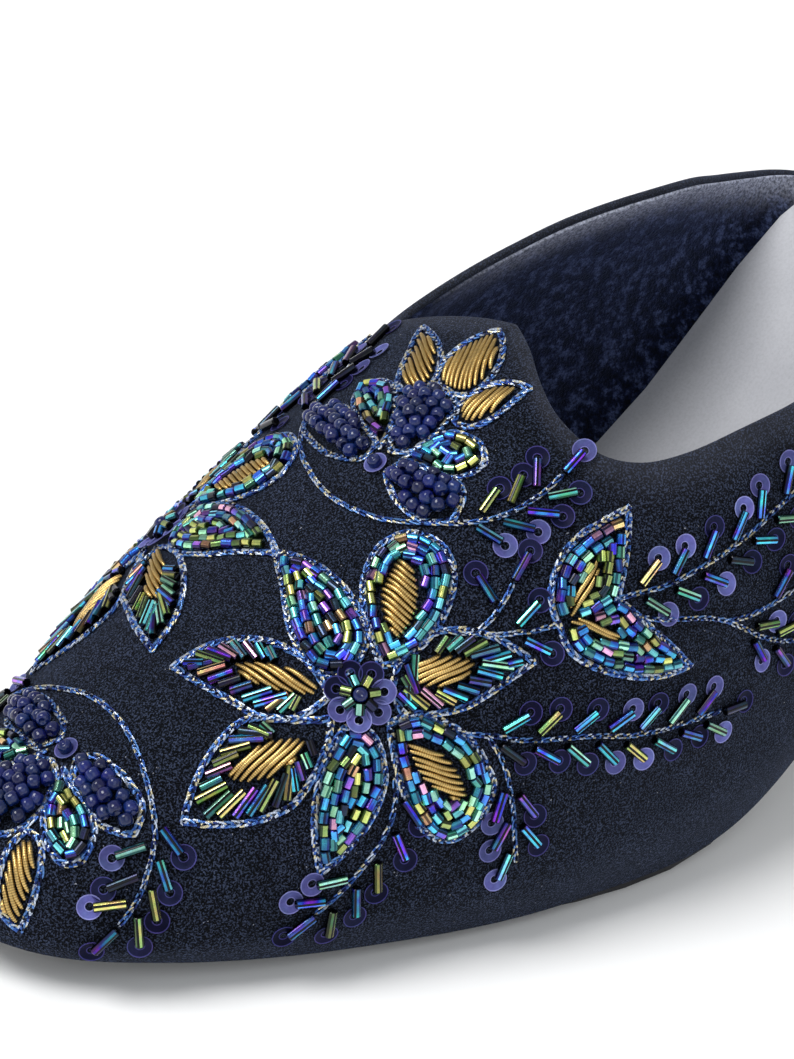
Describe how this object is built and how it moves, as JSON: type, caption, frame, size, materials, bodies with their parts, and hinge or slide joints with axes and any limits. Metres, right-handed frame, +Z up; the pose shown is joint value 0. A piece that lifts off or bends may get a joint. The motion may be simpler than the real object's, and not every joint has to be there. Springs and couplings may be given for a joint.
{
  "type": "heeled mule",
  "caption": "Backless high-heeled slip-on shoe with a pointed toe, a beaded suede vamp with long quarters and a slim covered heel.",
  "frame": {"origin": "on the floor under the middle of the shoe: the centre of the bounding box, at its base", "axes": "-X towards the toe, +X towards the heel, -Y the inner (big toe) side of this right shoe, +Y the outer side, +Z up"},
  "size_m": [0.246, 0.0842, 0.0836],
  "materials": {
    "suede": "matt black-navy micro suede with a fine short nap",
    "lining": "dark navy brushed textile lining with a fuzzy pile",
    "insole_leather": "smooth satin grey leather",
    "outsole": "black sole leather with a smooth dressed edge",
    "heel_cover": "matt black suede stretched over the heel",
    "heel_tip_rubber": "dense matt black rubber",
    "cut_beads": "opaque iridescent cut glass and bugle beads in petrol, green, violet and copper",
    "seed_beads": "glossy opaque navy seed beads",
    "sequins": "clear dark blue flat sequins with a violet sheen",
    "gold_purl": "antique gold coiled metal purl",
    "cord": "chain-stitched metallic cord in blue and silver"
  },
  "bodies": {
    "root": {"upper": "suede", "insole": "insole_leather", "outsole": "outsole", "heel": "heel_cover", "heel_tip": "heel_tip_rubber"}
  },
  "joints": []
}
